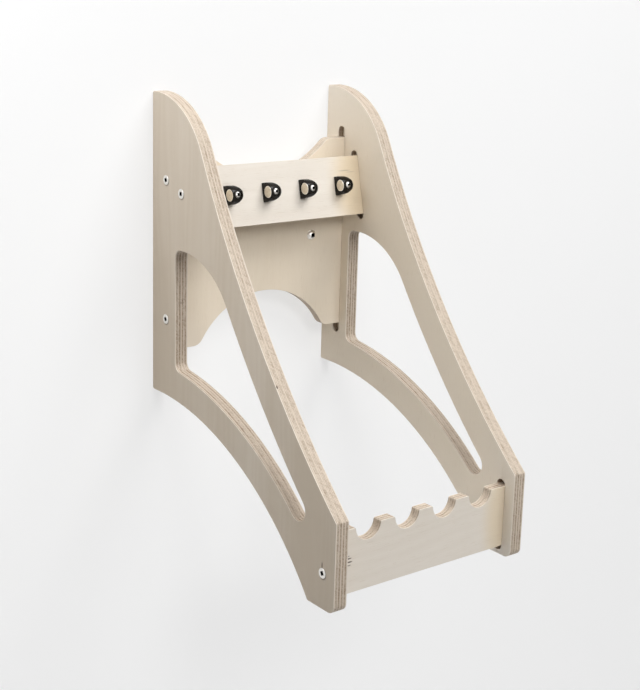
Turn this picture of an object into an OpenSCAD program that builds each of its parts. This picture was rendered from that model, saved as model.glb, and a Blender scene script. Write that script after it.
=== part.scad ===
// Wall-hung saw till: two plywood sides, a back panel, a leaning upper rail with four magnetic
// saw holders and a notched lower rail. The back edges of the sides lie on the wall, at Y = 0,
// the front looks along -Y, and Z = 0 is the height of the two wall screws.

/* [Sides] */
// Thickness of a side
side_thick = 12; // [10:0.5:18]
// Distance from the wall to the front edge
side_depth = 254; // [246:1:270]
// Height from the foot to the top edge
side_height = 358; // [350:1:375]
// Height of the top edge above the wall screws
side_rise = 128; // [120:1:140]
// Height of the upright front edge
front_edge_height = 71; // [60:1:80]
// Length of the flat top edge
top_land = 4; // [3:0.5:10]
// Radius of the rounded shoulder
shoulder_radius = 76; // [66:1:84]
// Radius of the long hollow front edge
front_hollow_radius = 852; // [650:2:1200]
// Height of the straight back edge
back_edge_height = 251; // [244:1:256]
// Radius of the hollow lower edge
lower_hollow_radius = 266; // [258:1:275]
// Distance from the wall to the crown of the lower hollow
lower_crown_setout = 9; // [8:0.5:14]
// Radius of the small corners
small_corner_radius = 2; // [1:0.25:3]
// Radius of the front corner of the foot
foot_corner_radius = 6.5; // [3:0.5:7]

/* [Window in a side] */
// Width of the post between the wall and the window
post_width = 35; // [31:0.5:38]
// Width of the rim along the front and lower edges
rim_width = 25.5; // [20:0.5:28]
// Drop from the top edge of the side to the window
window_drop = 124.5; // [118:0.5:132]
// Radius of the rounded shoulder of the window
window_shoulder_radius = 74; // [66:1:80]
// Radius of the two back corners of the window
window_corner_radius = 7.5; // [4:0.5:8]
// Distance from the front edge back to the middle of the window's round tip
window_tip_setback = 46.5; // [42:0.5:60]

/* [Cross boards] */
// Clear width between the sides
bay_width = 168; // [160:2:300]
// Thickness of the back panel and both rails
board_thick = 9; // [8:0.5:10]
// Depth of the slots that hold the board ends
slot_depth = 6; // [4:0.5:7]
// Height of both rails
rail_height = 51; // [46:1:54]

/* [Back panel] */
// Height of the back panel
back_height = 168; // [160:1:180]
// Space between the wall and the back panel
back_gap = 16; // [10:0.5:18]
// Open slot left above and below the back panel
back_slot_overrun = 9.5; // [6:0.5:12]
// Width of the ears at the top corners
ear_width = 19; // [17:0.5:24]
// Depth of the scoop between the ears
scoop_depth = 28; // [20:1:36]
// Width of the legs at the bottom corners
leg_width = 18.5; // [17:0.5:24]
// Rise of the arch between the legs
arch_rise = 40; // [30:1:50]
// Radius of the inner corners of ears and legs
ear_corner_radius = 10; // [6:0.5:11]

/* [Upper rail] */
// Lean of the upper rail towards the wall
rail_lean = 12.5; // [8:0.5:16]
// Distance from the wall to the middle of the upper rail
upper_rail_setout = 44.5; // [43:0.5:48]
// Height of the middle of the upper rail above the wall screws
upper_rail_rise = 44.5; // [40:0.5:52]

/* [Lower rail] */
// Distance from the front edges back to the lower rail
lower_rail_setback = 10; // [8:0.5:14]
// Height of the lower rail above the foot
lower_rail_lift = 8; // [7:0.5:12]
// Radius of the notches that take the saws
notch_radius = 12; // [9:0.5:13]
// Radius of the corners beside each notch
notch_lip_radius = 1.5; // [1:0.25:2.5]

/* [Saw holders] */
// Spacing of the saws
saw_pitch = 38; // [34:1:40]
// Distance from the middle of a notch to the face that holds its saw
blade_setover = 1.2; // [0:0.1:3]
// Distance from the middle of the upper rail up to the holders
holder_rise = 0.5; // [0:0.5:8]
// Height of a holder
holder_height = 16; // [15:0.5:20]
// Length of a holder before its round nose
holder_flat = 5; // [4.5:0.5:10]
// Wall of a holder between its screw head and its round end
holder_end_wall = 0.95; // [0.8:0.05:4]
// Depth of the recess for the screw head
holder_recess_depth = 2.2; // [1.5:0.1:3]
// Diameter of the disc magnets
magnet_diameter = 10; // [8:0.5:10.5]
// Thickness of the disc magnets
magnet_thick = 2; // [1.5:0.25:2]
// Wall of a holder between its magnet and its nose
magnet_nose_wall = 0.35; // [0.25:0.05:1]

/* [Screws] */
// Head diameter of the side screws
side_screw_head = 8; // [7:0.5:8.5]
// Shank diameter of the side screws
side_screw_shank = 4; // [3.75:0.25:4.5]
// Thread diameter of the side screws
side_screw_thread = 3.5; // [2.5:0.25:3.5]
// Length of the side screws
side_screw_length = 32; // [25:1:40]
// Height of the side screws above and below the wall screws
back_screw_rise = 58; // [50:1:64]
// Distance from the middle of the upper rail up to its side screws
upper_screw_rise = 5.5; // [0:0.5:12]
// Distance from the middle of the lower rail down to its side screws
lower_screw_drop = 5.5; // [0:0.5:12]
// Distance between the wall screws
wall_screw_spacing = 100; // [80:2:110]
// Head diameter of the wall screws
wall_screw_head = 9; // [8:0.5:11]
// Shank diameter of the wall screws
wall_screw_shank = 4.5; // [4.25:0.25:5]
// Thread diameter of the wall screws
wall_screw_thread = 4; // [3:0.25:4]
// Reach of the wall screws into the wall
wall_screw_reach = 25; // [15:1:40]
// Head diameter of the holder screws
holder_screw_head = 6.4; // [5:0.2:6.4]
// Shank diameter of the holder screws
holder_screw_shank = 3; // [2.75:0.25:3.5]
// Thread diameter of the holder screws
holder_screw_thread = 2.5; // [2:0.25:2.5]
// Reach of the holder screws into the rail
holder_screw_bite = 7; // [5:0.5:7]

/* [Hidden] */

// How finely small round shapes and the two wide hollows are drawn
small_facets = 72;
wide_facets = 720;
$fn = small_facets;

// Overrun of every cut past the face that it leaves
overrun = 1;
// Tiny lap of two curves that touch, so that one runs cleanly into the other
touch_lap = 0.003;
// Share by which a trim reaches past what it trims
trim_share = 0.5;

// Clearances: a board in its slot, a screw in its hole and past its point, a head in its recess,
// a magnet in its pocket
slot_clearance = 0.1;
screw_clearance = 0.05;
point_clearance = 0.5;
head_clearance = 0.1;
recess_clearance = 0.2;
magnet_clearance = 0.05;

saw_count = 4;
saw_places = [for (i = [0 : saw_count - 1]) (i - (saw_count - 1) / 2) * saw_pitch];
holder_places = [for (x = saw_places) x - blade_setover];

// Outline points of a side are (distance from the wall, height above the wall screws)
top_z = side_rise;
foot_z = side_rise - side_height;
front_corner = [side_depth, foot_z + front_edge_height];
shoulder_centre = [top_land, top_z - shoulder_radius];
front_centre = circle_meet(shoulder_centre, shoulder_radius + front_hollow_radius - touch_lap,
    front_corner, front_hollow_radius);
lower_centre = [lower_crown_setout, top_z - back_edge_height - lower_hollow_radius];

// The window follows the same two hollows, one rim width inside them
window_z = top_z - window_drop;
window_front_radius = front_hollow_radius + rim_width;
window_lower_radius = lower_hollow_radius + rim_width;
window_shoulder_z = window_z - window_shoulder_radius;
window_shoulder_centre = [
    beside(front_centre, window_front_radius + window_shoulder_radius - touch_lap, window_shoulder_z, -1),
    window_shoulder_z
];

// The round tip of the window touches both hollows
tip_centre = between_circles(lower_centre, window_lower_radius, front_centre, window_front_radius,
    side_depth - window_tip_setback);
tip_radius = norm(tip_centre - lower_centre) - window_lower_radius + touch_lap;

// Slots and boards, as outline points of a side
slot_radius = board_thick / 2 + slot_clearance;
board_length = bay_width + 2 * slot_depth;
back_middle = [back_gap + board_thick / 2, 0];
upper_middle = [upper_rail_setout, upper_rail_rise];
lower_middle = [
    side_depth - lower_rail_setback - board_thick / 2,
    foot_z + lower_rail_lift + rail_height / 2
];
up_the_lean = [-sin(rail_lean), cos(rail_lean)];

// Places of the side screws
back_top_screw = back_middle + [0, back_screw_rise];
back_bottom_screw = back_middle - [0, back_screw_rise];
upper_rail_screw = upper_middle + upper_screw_rise * up_the_lean;
lower_rail_screw = lower_middle - [0, lower_screw_drop];
side_screws = [back_top_screw, back_bottom_screw, upper_rail_screw, lower_rail_screw];

// Screw heads: the rim of a flat head, how far it stands out of the side, the height of a raised
// head, the square socket, and the length of the point
head_rim = 0.5;
head_stand = 0.3;
raised_head_share = 0.34;
socket_share = 0.34;
socket_depth_share = 0.26;
point_share = 1.1;
side_screw_bore = side_screw_shank / 2 + screw_clearance;
side_screw_neck = side_thick - slot_depth + head_stand;
side_screw_bite = side_screw_length - side_screw_neck;
wall_screw_bore = wall_screw_shank / 2 + screw_clearance;

// A saw holder, from its left face on: the magnet in its pocket, a thin wall, the recess for the
// screw head, and the end wall, which is rounded but for a short flat
holder_depth = holder_flat + holder_height / 2;
pocket_radius = magnet_diameter / 2 + magnet_clearance;
pocket_wall = 0.25;
magnet_setout = holder_depth - magnet_nose_wall - pocket_radius;
magnet_chamfer = 0.3;
holder_recess_radius = holder_screw_head / 2 + recess_clearance;
holder_screw_setin = magnet_thick + pocket_wall + holder_recess_radius;
holder_seat = holder_depth - holder_recess_depth;
holder_bore = holder_screw_shank / 2 + screw_clearance;
holder_width = holder_screw_setin + holder_recess_radius + holder_end_wall;
holder_end_flat = 0.5;
holder_end_radius = min(holder_height / 2, holder_width) - holder_end_flat;

// Unit vector from a to b
function towards(a, b) = (b - a) / norm(b - a);

// Vector v turned to the left by an angle
function turned(v, angle) = [
    v[0] * cos(angle) - v[1] * sin(angle),
    v[0] * sin(angle) + v[1] * cos(angle)
];

// Point where two circles meet, on the left going from a to b
function circle_meet(a, ra, b, rb) =
    let (d = norm(b - a), along = (d * d + ra * ra - rb * rb) / (2 * d), e = towards(a, b))
    a + along * e + sqrt(ra * ra - along * along) * [-e[1], e[0]];

// Point at distance u from the wall that lies equally far outside two circles
function between_circles(a, ra, b, rb, u) =
    let (q = b - a, d = rb - ra, p = u - a[0], k = (q * q - d * d - 2 * p * q[0]) / (2 * d), s = q[1] / d)
    [u, a[1] + (k * k - p * p) / (k * s + sqrt(k * k + (s * s - 1) * p * p))];

// Distance from the wall of the point of a circle at height z, on its near or far side
function beside(c, r, z, way) = c[0] + way * sqrt(r * r - (z - c[1]) * (z - c[1]));

// Height of the point of a circle at distance u from the wall, on its upper or lower side
function above(c, r, u, way) = c[1] + way * sqrt(r * r - (u - c[0]) * (u - c[0]));

// The waste outside a rounded corner: the round of radius r touches the edges towards t1 and t2
module corner_waste(centre, r, corner, t1, t2) {
    reach = 1 + trim_share;
    difference() {
        translate(centre)
            polygon([[0, 0], (t1 - centre) * reach, (corner - centre) * reach, (t2 - centre) * reach]);
        translate(centre) circle(r);
    }
}

// Corner between a line or hollow that the round touches at t1 and the hollow round c
module hollow_corner(centre, r, corner, t1, c) {
    corner_waste(centre, r, corner, t1, centre + r * towards(centre, c));
}

// A field with a flat top at height z from u on and a round shoulder that touches the front hollow,
// closed by the points of rest
module shouldered_field(u, z, centre, r, front, rest) {
    touch = centre + r * towards(centre, front);
    spread = acos(towards(centre, front)[1]);
    corner = centre + r / cos(spread / 2) * turned([0, 1], -spread / 2);
    beyond = touch + (touch - centre) * trim_share / 2;
    difference() {
        polygon(concat([[u, z], corner, beyond], rest));
        corner_waste(centre, r, corner, [centre[0], z], touch);
    }
}

module side_outline() {
    r = small_corner_radius;
    foot_r = foot_corner_radius;
    front_r = front_hollow_radius + r - touch_lap;
    lower_r = lower_hollow_radius + r - touch_lap;
    front_round = [side_depth - r, above(front_centre, front_r, side_depth - r, -1)];
    heel_round = [beside(lower_centre, lower_r, foot_z + r, 1), foot_z + r];
    heel = [beside(lower_centre, lower_hollow_radius, foot_z, 1), foot_z];
    back_round = [r, above(lower_centre, lower_r, r, 1)];
    back_corner = [0, above(lower_centre, lower_hollow_radius, 0, 1)];
    difference() {
        shouldered_field(0, top_z, shoulder_centre, shoulder_radius, front_centre,
            [[side_depth, shoulder_centre[1]], [side_depth, foot_z], [0, foot_z]]);
        translate(front_centre) circle(front_hollow_radius, $fn = wide_facets);
        translate(lower_centre) circle(lower_hollow_radius, $fn = wide_facets);
        corner_waste([r, top_z - r], r, [0, top_z], [0, top_z - r], [r, top_z]);
        corner_waste([side_depth - foot_r, foot_z + foot_r], foot_r, [side_depth, foot_z],
            [side_depth, foot_z + foot_r], [side_depth - foot_r, foot_z]);
        hollow_corner(front_round, r, front_corner, front_round + [r, 0], front_centre);
        hollow_corner(heel_round, r, heel, heel_round - [0, r], lower_centre);
        hollow_corner(back_round, r, back_corner, back_round - [r, 0], lower_centre);
    }
}

module window_outline() {
    r = window_corner_radius;
    top_round = [post_width + r, window_z - r];
    low_r = window_lower_radius + r - touch_lap;
    low_round = [post_width + r, above(lower_centre, low_r, post_width + r, 1)];
    low_corner = [post_width, above(lower_centre, window_lower_radius, post_width, 1)];
    past_tip = tip_radius + rim_width * trim_share;
    difference() {
        union() {
            shouldered_field(post_width, window_z, window_shoulder_centre, window_shoulder_radius,
                front_centre, [
                    tip_centre + past_tip * towards(tip_centre, front_centre),
                    tip_centre,
                    tip_centre + past_tip * towards(tip_centre, lower_centre),
                    [post_width, low_corner[1] - rim_width]
                ]);
            translate(tip_centre) circle(tip_radius);
        }
        translate(front_centre) circle(window_front_radius, $fn = wide_facets);
        translate(lower_centre) circle(window_lower_radius, $fn = wide_facets);
        corner_waste(top_round, r, [post_width, window_z], top_round - [r, 0], top_round + [0, r]);
        hollow_corner(low_round, r, low_corner, low_round - [r, 0], lower_centre);
    }
}

// Round-ended slot, reaching half its length above and below its middle
module slot_outline(length) {
    straight = length - 2 * slot_radius;
    square([2 * slot_radius, straight], center = true);
    for (end = [-1, 1])
        translate([0, end * straight / 2]) circle(slot_radius);
}

// The slots of the three boards; those of the rails end one cutter radius past the board
module slots_outline() {
    translate(back_middle) slot_outline(back_height + 2 * back_slot_overrun);
    translate(upper_middle) rotate(rail_lean) slot_outline(rail_height + 2 * slot_radius);
    translate(lower_middle) slot_outline(rail_height + 2 * slot_radius);
}

// Stands a side outline upright, with a thickness from X = 0 towards -X
module upright(thickness) {
    rotate([0, 0, -90]) rotate([90, 0, 0]) linear_extrude(thickness) children();
}

// Moves what points along +Z to an outline point on the outer face of the left side, pointing inwards
module at_left_face(point) {
    translate([-bay_width / 2 - side_thick, -point[0], point[1]]) rotate([0, 90, 0]) children();
}

module left_side() {
    head = side_screw_head / 2 + head_clearance;
    difference() {
        translate([-bay_width / 2, 0, 0]) upright(side_thick)
            difference() {
                side_outline();
                window_outline();
            }
        translate([overrun - bay_width / 2, 0, 0]) upright(slot_depth + overrun) slots_outline();
        for (place = side_screws)
            at_left_face(place) {
                translate([0, 0, -overrun]) cylinder(r = side_screw_bore, h = side_thick + 2 * overrun);
                translate([0, 0, -overrun]) cylinder(r = head, h = head_rim - head_stand + overrun);
                translate([0, 0, head_rim - head_stand])
                    cylinder(r1 = head, r2 = side_screw_bore, h = head - side_screw_bore);
            }
    }
}

module left_side_panel() color("burlywood") left_side();

module right_side_panel() color("burlywood") mirror([1, 0, 0]) left_side();

// Pilot holes for the side screws in both ends of a board, at its local height z
module end_pilots(z) {
    for (way = [-1, 1])
        translate([way * board_length / 2, 0, z]) rotate([0, -way * 90, 0])
            translate([0, 0, -overrun])
                cylinder(r = side_screw_thread / 2 + screw_clearance,
                    h = overrun + side_screw_bite + point_clearance);
}

// A round cut into the long edge of a board: it spans 2 * half_span and is deep at its middle
module edge_bow(half_span, depth) {
    r = (half_span * half_span + depth * depth) / (2 * depth);
    corner_r = ear_corner_radius;
    centre = [0, r - depth];
    corner_x = beside(centre, r + corner_r - touch_lap, -corner_r, 1);
    translate(centre) circle(r, $fn = wide_facets);
    for (way = [0, 1])
        mirror([way, 0])
            hollow_corner([corner_x, -corner_r], corner_r, [half_span, 0], [corner_x, 0], centre);
}

module back_panel() {
    color("wheat") difference() {
        translate([0, -back_gap, 0]) rotate([90, 0, 0]) linear_extrude(board_thick)
            difference() {
                square([board_length, back_height], center = true);
                translate([0, back_height / 2]) edge_bow(bay_width / 2 - ear_width, scoop_depth);
                translate([0, -back_height / 2]) mirror([0, 1])
                    edge_bow(bay_width / 2 - leg_width, arch_rise);
            }
        translate([0, -back_middle[0], 0]) {
            end_pilots(back_screw_rise);
            end_pilots(-back_screw_rise);
        }
        for (way = [-1, 1])
            translate([way * wall_screw_spacing / 2, overrun - back_gap, 0]) rotate([90, 0, 0])
                cylinder(r = wall_screw_bore, h = board_thick + 2 * overrun);
    }
}

// Moves what is drawn round the middle of the upper rail to its leaning place
module on_upper_rail() {
    translate([0, -upper_middle[0], upper_middle[1]]) rotate([-rail_lean, 0, 0]) children();
}

module upper_rail() {
    color("wheat") on_upper_rail() difference() {
        cube([board_length, board_thick, rail_height], center = true);
        end_pilots(upper_screw_rise);
        for (x = holder_places)
            translate([x + holder_screw_setin, -board_thick / 2 - overrun, holder_rise]) rotate([-90, 0, 0])
                cylinder(r = holder_screw_thread / 2 + screw_clearance,
                    h = overrun + holder_screw_bite + point_clearance);
    }
}

// One saw notch at the top edge, with its two rounded lips
module notch_waste() {
    lip = notch_lip_radius;
    lip_x = beside([0, 0], notch_radius + lip - touch_lap, -lip, 1);
    circle(notch_radius);
    for (way = [0, 1])
        mirror([way, 0]) hollow_corner([lip_x, -lip], lip, [notch_radius, 0], [lip_x, 0], [0, 0]);
}

module lower_rail() {
    color("wheat") translate([0, -lower_middle[0], lower_middle[1]]) difference() {
        translate([0, board_thick / 2, 0]) rotate([90, 0, 0]) linear_extrude(board_thick)
            difference() {
                square([board_length, rail_height], center = true);
                for (x = saw_places)
                    translate([x, rail_height / 2]) notch_waste();
            }
        end_pilots(-lower_screw_drop);
    }
}

// Moves what is drawn at the left edge of a holder's seat on the rail: +X along it, -Y out of it
module at_holder(i) {
    on_upper_rail() translate([holder_places[i], -board_thick / 2, holder_rise]) children();
}

// The two corners that the round end of a holder leaves out, seen from its nose
module holder_end_waste() {
    r = holder_end_radius;
    corner = [holder_width, holder_height / 2];
    for (way = [0, 1])
        mirror([0, way]) corner_waste(corner - [r, r], r, corner, corner - [0, r], corner - [r, 0]);
}

module saw_holder(i) {
    color([0.07, 0.07, 0.07]) at_holder(i) difference() {
        translate([holder_width, 0, 0]) upright(holder_width) {
            translate([0, -holder_height / 2]) square([holder_flat, holder_height]);
            intersection() {
                translate([holder_flat, 0]) circle(holder_height / 2);
                translate([0, -holder_height / 2]) square([holder_depth + overrun, holder_height]);
            }
        }
        translate([0, overrun, 0]) rotate([90, 0, 0])
            linear_extrude(holder_depth + 2 * overrun) holder_end_waste();
        translate([-overrun, -magnet_setout, 0]) rotate([0, 90, 0])
            cylinder(r = pocket_radius, h = magnet_thick + overrun);
        translate([holder_screw_setin, overrun, 0]) rotate([90, 0, 0]) {
            cylinder(r = holder_bore, h = holder_depth + 2 * overrun);
            translate([0, 0, overrun + holder_seat]) cylinder(r = holder_recess_radius, h = holder_depth);
        }
    }
}

module disc_magnet(i) {
    r = magnet_diameter / 2;
    c = magnet_chamfer;
    color("silver") at_holder(i) translate([0, -magnet_setout, 0]) rotate([0, 90, 0]) rotate_extrude()
        polygon([[0, 0], [r - c, 0], [r, c], [r, magnet_thick - c], [r - c, magnet_thick], [0, magnet_thick]]);
}

// Square socket in the top of a screw head
module socket(head) {
    side = head * socket_share;
    depth = head * socket_depth_share;
    translate([0, 0, (depth - overrun) / 2]) cube([side, side, depth + overrun], center = true);
}

// Outline of a screw's neck, thread and point, from its axis at y = 0 on
module shank_outline(shank, neck, thread, length) {
    polygon([
        [0, 0], [shank / 2, 0], [shank / 2, neck], [thread / 2, neck],
        [thread / 2, length - thread * point_share], [0, length]
    ]);
}

// Flat-headed screw, its head at Z = 0 and its point towards +Z
module flat_screw(head, shank, neck, thread, length) {
    cone = (head - shank) / 2;
    difference() {
        rotate_extrude() {
            shank_outline(shank, neck, thread, length);
            polygon([[0, 0], [head / 2, 0], [head / 2, head_rim], [shank / 2, head_rim + cone], [0, head_rim + cone]]);
        }
        socket(head);
    }
}

// Screw with a raised, domed head over Z < 0, its seat at Z = 0 and its point towards +Z
module raised_screw(head, shank, neck, thread, length) {
    rise = head * raised_head_share;
    dome = (head * head / 4 + rise * rise) / (2 * rise);
    difference() {
        rotate_extrude() {
            shank_outline(shank, neck, thread, length);
            intersection() {
                translate([0, dome - rise]) circle(dome);
                translate([0, -rise]) square([head / 2, rise]);
            }
        }
        translate([0, 0, -rise]) socket(head);
    }
}

module left_side_screw(place) {
    color("lightgray") at_left_face(place) translate([0, 0, -head_stand])
        flat_screw(side_screw_head, side_screw_shank, side_screw_neck, side_screw_thread, side_screw_length);
}

module right_side_screw(place) mirror([1, 0, 0]) left_side_screw(place);

module holder_screw(i) {
    color("silver") at_holder(i) translate([holder_screw_setin, -holder_seat, 0]) rotate([-90, 0, 0])
        raised_screw(holder_screw_head, holder_screw_shank, holder_seat, holder_screw_thread,
            holder_seat + holder_screw_bite);
}

module wall_screw(way) {
    color("silver") translate([way * wall_screw_spacing / 2, -back_gap - board_thick, 0])
        rotate([-90, 0, 0])
            raised_screw(wall_screw_head, wall_screw_shank, board_thick + back_gap, wall_screw_thread,
                board_thick + back_gap + wall_screw_reach);
}

left_side_panel();
right_side_panel();
back_panel();
upper_rail();
lower_rail();
saw_holder(0);  // saw_holder_1
saw_holder(1);  // saw_holder_2
saw_holder(2);  // saw_holder_3
saw_holder(3);  // saw_holder_4
disc_magnet(0);  // disc_magnet_1
disc_magnet(1);  // disc_magnet_2
disc_magnet(2);  // disc_magnet_3
disc_magnet(3);  // disc_magnet_4
holder_screw(0);  // holder_screw_1
holder_screw(1);  // holder_screw_2
holder_screw(2);  // holder_screw_3
holder_screw(3);  // holder_screw_4
left_side_screw(back_top_screw);  // left_screw_back_top
left_side_screw(back_bottom_screw);  // left_screw_back_bottom
left_side_screw(upper_rail_screw);  // left_screw_upper_rail
left_side_screw(lower_rail_screw);  // left_screw_lower_rail
right_side_screw(back_top_screw);  // right_screw_back_top
right_side_screw(back_bottom_screw);  // right_screw_back_bottom
right_side_screw(upper_rail_screw);  // right_screw_upper_rail
right_side_screw(lower_rail_screw);  // right_screw_lower_rail
wall_screw(-1);  // left_wall_screw
wall_screw(1);  // right_wall_screw
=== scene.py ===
"""Wall-hung saw till in birch plywood, with its holders, magnets and screws, on a plain stage."""

import math
from collections import namedtuple

import bmesh
import bpy
from mathutils import Euler, Matrix, Vector


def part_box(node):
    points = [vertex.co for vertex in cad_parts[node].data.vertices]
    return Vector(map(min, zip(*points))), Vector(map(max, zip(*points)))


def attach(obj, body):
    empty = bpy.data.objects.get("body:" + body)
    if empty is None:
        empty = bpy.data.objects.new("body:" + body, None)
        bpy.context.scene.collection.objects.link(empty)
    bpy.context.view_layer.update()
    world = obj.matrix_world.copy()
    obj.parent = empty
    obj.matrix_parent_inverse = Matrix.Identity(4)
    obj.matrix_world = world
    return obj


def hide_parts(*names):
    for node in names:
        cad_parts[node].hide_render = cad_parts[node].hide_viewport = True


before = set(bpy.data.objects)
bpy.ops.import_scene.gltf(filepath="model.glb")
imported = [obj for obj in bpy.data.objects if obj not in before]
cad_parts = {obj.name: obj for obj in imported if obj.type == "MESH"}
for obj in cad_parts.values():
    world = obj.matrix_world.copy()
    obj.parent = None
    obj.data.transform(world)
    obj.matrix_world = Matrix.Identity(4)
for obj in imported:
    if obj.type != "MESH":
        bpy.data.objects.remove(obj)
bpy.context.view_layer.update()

bl_info = {
    "name": "Saw till",
    "version": (1, 0, 0),
    "blender": (4, 5, 0),
    "location": "View3D > Sidebar > Saw till",
    "description": "Makes a wall-hung plywood saw till with four magnetic saw holders",
    "category": "Add Mesh",
}

MM = 0.001
BODY = "root"
SAWS = 4
HOLDER_NODES, MAGNET_NODES, HOLDER_SCREW_NODES = (
    [f"{kind}_{n + 1}" for n in range(SAWS)]
    for kind in ("saw_holder", "disc_magnet", "holder_screw")
)
SIDE_SCREW_NODES = [
    f"{side}_screw_{place}"
    for side in ("left", "right")
    for place in ("back_top", "back_bottom", "upper_rail", "lower_rail")
]
WALL_SCREW_NODES = ["left_wall_screw", "right_wall_screw"]

# The upper rail leans back about the X axis, round this middle
RAIL_LEAN = math.radians(12.5)
RAIL_MIDDLE = Vector((0, -44.5, 44.5)) * MM
UPRIGHT = (0, 0, 0)
# Thickness of the stock, and its plies
SIDE_STOCK = (12 * MM, 9)
BOARD_STOCK = (9 * MM, 7)

# Axes run through the board, along its face grain and across it. The shift moves its pattern, and
# the tone says how dark its veneer is. On the two sides the tone also holds painted shade and light
Board = namedtuple("Board", "node piece centre lean axes thick plies shift tone")
# The left side's high tone is painted shade, which darkens its outer face as if turned from the
# light
LEFT_SIDE = Board(
    "left_side_panel", "left_side", (-90 * MM, 0, 0), UPRIGHT, "xzy", *SIDE_STOCK, 0.0, 0.72
)
# The right side's low tone is painted light, which makes its inner face paler as if more light
# reached it
RIGHT_SIDE = Board(
    "right_side_panel", "right_side", (90 * MM, 0, 0), UPRIGHT, "xzy", *SIDE_STOCK, 3.7, -0.3
)
BACK = Board(
    "back_panel", "back_board", (0, -20.5 * MM, 0), UPRIGHT, "yzx", *BOARD_STOCK, 8.3, -0.15
)
UPPER_RAIL = Board(
    "upper_rail", "leaning_rail", tuple(RAIL_MIDDLE), (-RAIL_LEAN, 0, 0), "yxz",
    *BOARD_STOCK, 13.1, -0.04,
)
LOWER_RAIL = Board(
    "lower_rail", "notched_rail", (0, -239.5 * MM, -196.5 * MM), UPRIGHT, "yxz",
    *BOARD_STOCK, 21.9, 0.06,
)

# Small marks in the wood, in millimetres: place, reach along X, Y and Z, and how strong they are
LEFT_SIDE_MARKS = [
    ((-94.7, -176.9, -76.7), (1.0, 1.6, 1.9), 0.95),
    ((-96.0, -239.1, -196.4), (0.6, 0.9, 4.2), 0.9),
    ((-89.5, -35.0, -42.0), (3.2, 1.4, 1.3), 0.3),
    ((-88.0, -35.0, -39.4), (3.4, 1.4, 0.9), 0.22),
]
UPPER_RAIL_MARKS = [
    ((68.0, -47.0, 58.4), (9.0, 3.0, 0.8), 0.28),
    ((74.0, -47.0, 56.9), (6.0, 3.0, 0.6), 0.2),
]
LOWER_RAIL_MARKS = [
    ((-75.6, -244.0, -192.2), (2.0, 1.0, 0.6), 0.5),
    ((-74.9, -244.0, -194.2), (3.2, 1.0, 0.7), 0.9),
    ((-74.2, -244.0, -197.0), (3.4, 1.0, 0.8), 0.9),
    ((-74.8, -244.0, -199.6), (2.6, 1.0, 0.7), 0.6),
]
# Painted shade round a sunk screw head: its drop from the head's middle along Y and Z, reach and
# strength
PAINTED_HEAD_SHADE = ((-0.6, -0.7), (3.0, 5.2, 5.2), 1.0)
# Warmer, darker honey-coloured patches, given as the marks are. On the right side and the back
# board they are painted warm bounce light and shade; on the rails they warm the right ends
RIGHT_SIDE_PAINTED_WARM_LIGHT = [((84.0, -110.0, -40.0), (60.0, 260.0, 300.0), 0.4)]
BACK_PAINTED_WARM_LIGHT = [((20.0, -25.0, 20.0), (240.0, 30.0, 200.0), 0.45)]
UPPER_RAIL_WARM_END = [((90.0, -47.0, 46.0), (46.0, 30.0, 70.0), 0.75)]
LOWER_RAIL_WARM_END = [((90.0, -244.0, -196.0), (34.0, 30.0, 70.0), 0.6)]

# Waves per metre of the patterns in the veneer: across its grain, through the board, along it
DRIFT_WAVES = (11, 11, 1.7)
FLOW_WAVES = (26, 9, 2.6)
FIBRE_WAVES = (1300, 1300, 34)
PORE_WAVES = (1700, 1700, 120)
FIGURE_WAVES, VEIL_WAVES, WEAR_WAVES = 70, 5.5, 26
# The same on the edges: through the board, across its face grain, along it
STREAK_WAVES = ((1000, 1000, 55), (1000, 55, 1000))
BAND_WAVES = (700, 110, 110)
HATCH_WAVES = (120, 620, 620)
SWAY_WAVES, VESSEL_WAVES = 7, 1500
# How far the flow bends the figure, the sway moves the plies, and the hatching slants
FLOW_REACH, SWAY_REACH, HATCH_SLANT = 9, 0.3, 0.7
# How strongly each pattern darkens the veneer, and the edges
DRIFT_TONE, FIBRE_TONE, VEIL_TONE, PORE_TONE = 0.22, 0.12, 0.16, 0.14
END_TONE, PLY_TONE, BAND_TONE, HATCH_TONE, VESSEL_TONE = 0.5, 0.3, 1.1, 0.9, 0.4
GLUE_TONE, END_GLUE_TONE, SKIN_HIGHLIGHT_TONE, WEAR_TONE = 0.42, 0.3, 0.6, 0.35
EDGE_TONE = -0.05
# How far each pattern rises, and how much it roughens
FIBRE_RISE, STREAK_RISE, GLUE_RISE, END_RISE = 0.5, 0.9, -0.8, 0.2
FIBRE_ROUGH, EDGE_ROUGH, WEAR_ROUGH = 0.14, 0.14, -0.08
# Between which values each pattern fades in
DRIFT_FADE, PORE_FADE, GLUE_FADE, VESSEL_FADE = (0.3, 0.7), (0.66, 0.8), (0.72, 0.98), (0.5, 0.72)
FACE_FADE, ARRIS_FADE, FLAT_FADE, WEAR_FADE = (0.6, 0.92), (0.12, 0.4), (0.9, 0.995), (0.42, 0.62)
SKIN_HIGHLIGHT_FADE, SPECK_FADE = (0.41, 0.47), (1.0, 0.45)

# The same for the plastic, the metals and the wall
RIPPLE_WAVES, SCUFF_WAVES, DUST_WAVES = 420, 900, 140
RING_WAVES, STAIN_WAVES, HAZE_WAVES = 9000, 260, 3
SCUFF_FADE, DUST_FADE, STAIN_FADE = (0.6, 0.78), (0.55, 0.75), (0.5, 0.75)
DUST_TONE, STAIN_TONE, RING_TONE = 0.03, 0.5, 0.15
RIPPLE_RISE, SCUFF_RISE, STAIN_RISE = 0.6, 0.4, 0.4
SCUFF_ROUGH, DUST_ROUGH, STAIN_ROUGH, RING_ROUGH, HAZE_ROUGH = 0.22, 0.08, 0.12, 0.08, 0.05
PLASTIC_SHINE, PAINT_ROUGH = 0.16, 0.9
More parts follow.
